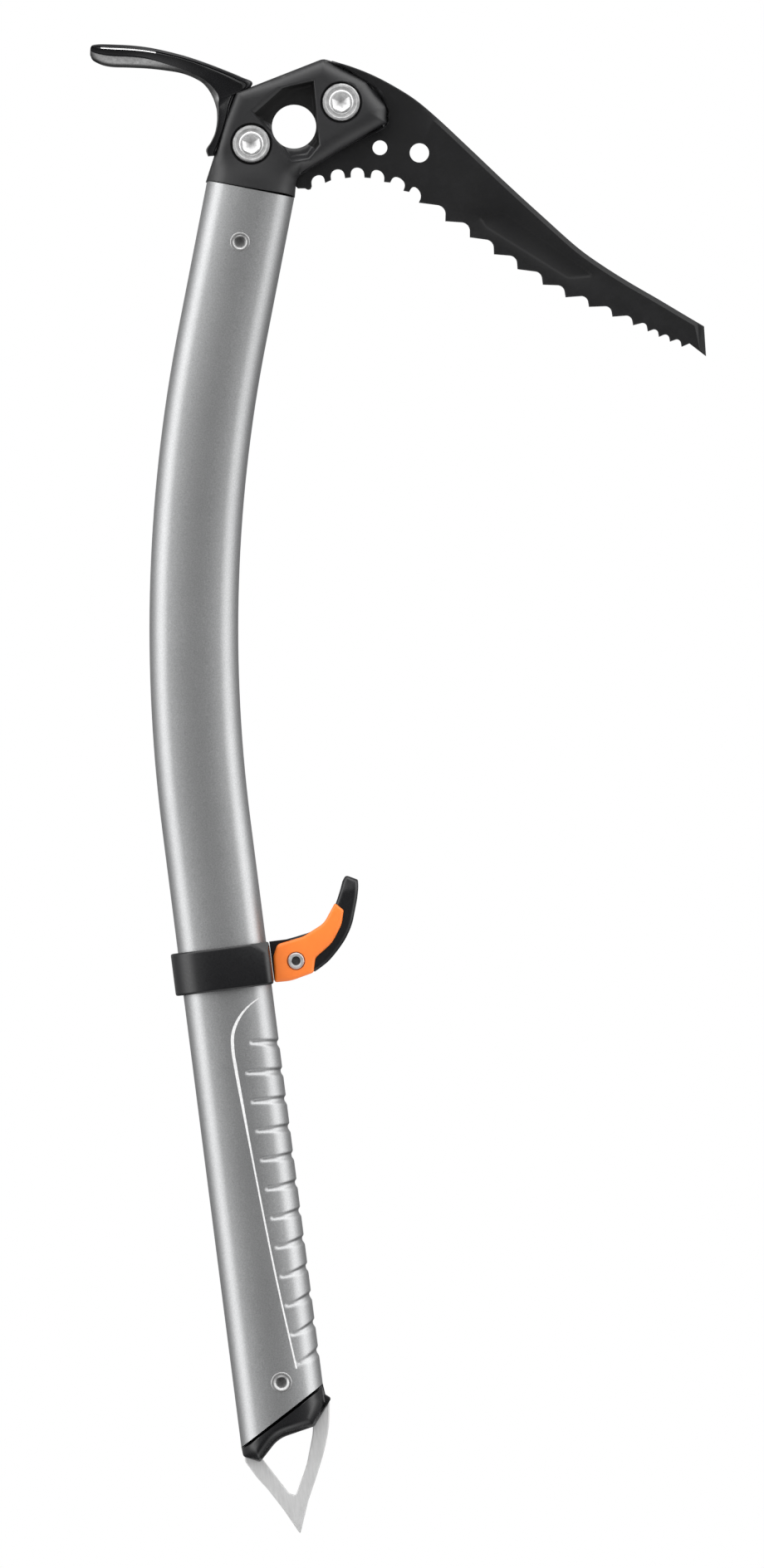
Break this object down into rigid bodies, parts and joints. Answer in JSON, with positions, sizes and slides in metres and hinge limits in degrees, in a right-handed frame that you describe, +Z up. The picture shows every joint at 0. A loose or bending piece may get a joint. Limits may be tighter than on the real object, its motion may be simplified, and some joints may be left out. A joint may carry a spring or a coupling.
{
  "type": "ice axe",
  "caption": "Curved aluminium ice axe with a bolted toothed pick, an adze, a sliding hand rest with a locking lever, and a steel spike at the foot.",
  "frame": {"origin": "centre of the carabiner hole in the head", "axes": "+Z up along the straight lower shaft towards the head, +X the way the pick points, +Y across the axe, from the bolt heads to the nuts"},
  "size_m": [0.2295, 0.046, 0.5667],
  "materials": {
    "shaft_aluminium": "satin, bead blasted",
    "head_black": "satin black",
    "pick_steel": "satin black",
    "adze_black": "gloss black",
    "bolt_steel": "bright",
    "rivet_steel": "satin",
    "pin_steel": "satin",
    "spike_steel": "satin",
    "plug_black": "gloss black",
    "rest_black": "semi-gloss black",
    "rest_orange": "satin orange",
    "rest_rubber": "matte black"
  },
  "bodies": {
    "axe": {"shaft": "shaft_aluminium", "head": "head_black", "pick": "pick_steel", "adze": "adze_black", "front_bolt": "bolt_steel", "rear_bolt": "bolt_steel", "front_nut": "bolt_steel", "rear_nut": "bolt_steel", "head_rivet": "rivet_steel", "end_plug": "plug_black", "spike": "spike_steel", "spike_rivet": "rivet_steel"},
    "hand_rest": {"rest_band": "rest_black", "rest_liner": "rest_rubber", "rest_shoe": "rest_rubber"},
    "rest_lever": {"rest_cheek_near": "rest_orange", "rest_cheek_far": "rest_orange", "rest_horn": "rest_black", "rest_pivot_screw": "pin_steel", "rest_pivot_sleeve": "pin_steel"}
  },
  "joints": [
    {"name": "rest_slide", "type": "slide", "parent": "axe", "child": "hand_rest", "axis": [0, 0, 1], "range_m": [-0.144, 0.046]},
    {"name": "rest_lever_pivot", "type": "hinge", "parent": "hand_rest", "child": "rest_lever", "pos_m": [-0.0392, 0, -0.312], "axis": [0, -1, 0], "range_deg": [0, 35]}
  ]
}
